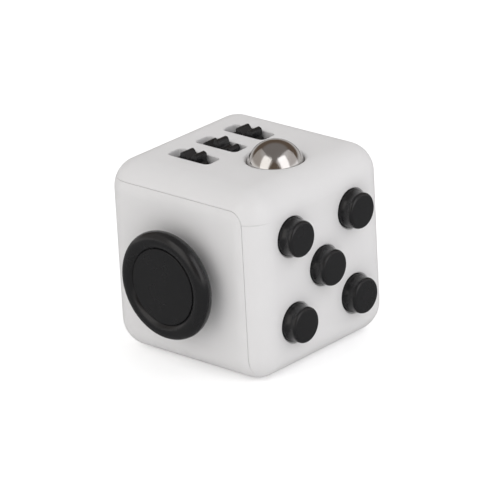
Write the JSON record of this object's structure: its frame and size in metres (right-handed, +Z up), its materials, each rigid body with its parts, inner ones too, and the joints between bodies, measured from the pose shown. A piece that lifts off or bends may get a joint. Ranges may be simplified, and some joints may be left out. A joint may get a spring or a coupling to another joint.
{
  "type": "fidget cube",
  "caption": "Rounded pocket fidget cube with push buttons, joystick disc, gear wheels, rolling ball, spin dial, rocker switch and worry-stone hollow.",
  "frame": {"origin": "centre of the flat bottom face, on the surface the cube stands on", "axes": "+Z up through the gear and ball face, +X out of the button face, -Y out of the joystick face"},
  "size_m": [0.038, 0.0398, 0.0362],
  "materials": {
    "casing_plastic": "soft-touch matte",
    "control_plastic": "satin",
    "inner_plastic": "moulded",
    "chrome_steel": "polished",
    "spring_steel": "drawn wire and strip",
    "screw_steel": "zinc plated",
    "axle_steel": "ground"
  },
  "bodies": {
    "casing": {"ball_housing": "inner_plastic", "ball_housing_screws": "screw_steel", "button_plate": "inner_plastic", "button_plate_screws": "screw_steel", "button_spring_back_bottom": "spring_steel", "button_spring_back_top": "spring_steel", "button_spring_front_bottom": "spring_steel", "button_spring_front_top": "spring_steel", "button_spring_middle": "spring_steel", "click_dome_back_bottom": "spring_steel", "click_dome_front_top": "spring_steel", "click_dome_middle": "spring_steel", "gear_axle": "axle_steel", "gear_cradle": "inner_plastic", "gear_cradle_screws": "screw_steel", "lower_shell": "casing_plastic", "rocker_bracket": "inner_plastic", "rocker_bracket_screws": "screw_steel", "rocker_leaf_spring": "spring_steel", "rocker_pin": "axle_steel", "upper_shell": "casing_plastic"},
    "button_front_top_body": {"button_front_top": "control_plastic"},
    "button_back_top_body": {"button_back_top": "control_plastic"},
    "button_middle_body": {"button_middle": "control_plastic"},
    "button_front_bottom_body": {"button_front_bottom": "control_plastic"},
    "button_back_bottom_body": {"button_back_bottom": "control_plastic"},
    "stick_gimbal": {"joystick_spring": "spring_steel"},
    "stick": {"thumb_disc": "control_plastic", "joystick_washer": "inner_plastic", "joystick_screw": "screw_steel"},
    "dial": {"spin_dial": "control_plastic", "dial_washer": "inner_plastic", "dial_screw": "screw_steel"},
    "rocker_switch": {"rocker": "control_plastic"},
    "gear_front": {"gear_wheel_front": "control_plastic"},
    "gear_middle": {"gear_wheel_middle": "control_plastic"},
    "gear_back": {"gear_wheel_back": "control_plastic"},
    "ball_lift": {"ball_spring": "spring_steel"},
    "ball_carrier": {"ball_cup": "inner_plastic"},
    "rolling_ball": {"steel_ball": "chrome_steel"}
  },
  "joints": [
    {"name": "button_front_top_press", "type": "slide", "parent": "casing", "child": "button_front_top_body", "axis": [-1, 0, 0], "range_m": [0, 0.0012], "stiffness_N_per_m": 500, "springref_m": -0.0008, "deforming": ["button_spring_front_top", "click_dome_front_top"]},
    {"name": "button_back_top_press", "type": "slide", "parent": "casing", "child": "button_back_top_body", "axis": [-1, 0, 0], "range_m": [0, 0.0012], "stiffness_N_per_m": 500, "springref_m": -0.0008, "deforming": ["button_spring_back_top"]},
    {"name": "button_middle_press", "type": "slide", "parent": "casing", "child": "button_middle_body", "axis": [-1, 0, 0], "range_m": [0, 0.0012], "stiffness_N_per_m": 500, "springref_m": -0.0008, "deforming": ["button_spring_middle", "click_dome_middle"]},
    {"name": "button_front_bottom_press", "type": "slide", "parent": "casing", "child": "button_front_bottom_body", "axis": [-1, 0, 0], "range_m": [0, 0.0012], "stiffness_N_per_m": 500, "springref_m": -0.0008, "deforming": ["button_spring_front_bottom"]},
    {"name": "button_back_bottom_press", "type": "slide", "parent": "casing", "child": "button_back_bottom_body", "axis": [-1, 0, 0], "range_m": [0, 0.0012], "stiffness_N_per_m": 500, "springref_m": -0.0008, "deforming": ["button_spring_back_bottom", "click_dome_back_bottom"]},
    {"name": "joystick_tilt_x", "type": "hinge", "parent": "casing", "child": "stick_gimbal", "pos_m": [0, -0.0153, 0.0159], "axis": [1, 0, 0], "range_deg": [-8, 8], "stiffness_Nm_per_rad": 0.03, "deforming": ["joystick_spring"]},
    {"name": "joystick_tilt_z", "type": "hinge", "parent": "stick_gimbal", "child": "stick", "pos_m": [0, -0.0153, 0.0159], "axis": [0, 0, 1], "range_deg": [-8, 8], "stiffness_Nm_per_rad": 0.03, "deforming": ["joystick_spring"]},
    {"name": "dial_spin", "type": "hinge", "parent": "casing", "child": "dial", "pos_m": [0, 0.0165, 0.0165], "axis": [0, 1, 0], "continuous": true},
    {"name": "rocker_flip", "type": "hinge", "parent": "casing", "child": "rocker_switch", "pos_m": [-0.0149, 0, 0.0165], "axis": [0, -1, 0], "range_deg": [0, 18], "deforming": ["rocker_leaf_spring"]},
    {"name": "gear_front_spin", "type": "hinge", "parent": "casing", "child": "gear_front", "pos_m": [-0.00465, -0.0068, 0.0298], "axis": [0, 1, 0], "continuous": true},
    {"name": "gear_middle_spin", "type": "hinge", "parent": "casing", "child": "gear_middle", "pos_m": [-0.00465, 0, 0.0298], "axis": [0, 1, 0], "continuous": true},
    {"name": "gear_back_spin", "type": "hinge", "parent": "casing", "child": "gear_back", "pos_m": [-0.00465, 0.0068, 0.0298], "axis": [0, 1, 0], "continuous": true},
    {"name": "ball_press", "type": "slide", "parent": "casing", "child": "ball_lift", "axis": [0, 0, -1], "range_m": [0, 0.001], "stiffness_N_per_m": 600, "springref_m": -0.001, "deforming": ["ball_spring"]},
    {"name": "ball_swivel", "type": "hinge", "parent": "ball_lift", "child": "ball_carrier", "pos_m": [0.007, 0, 0.0313], "axis": [0, 0, 1], "continuous": true},
    {"name": "ball_roll", "type": "hinge", "parent": "ball_carrier", "child": "rolling_ball", "pos_m": [0.007, 0, 0.0313], "axis": [1, 0, 0], "continuous": true}
  ]
}
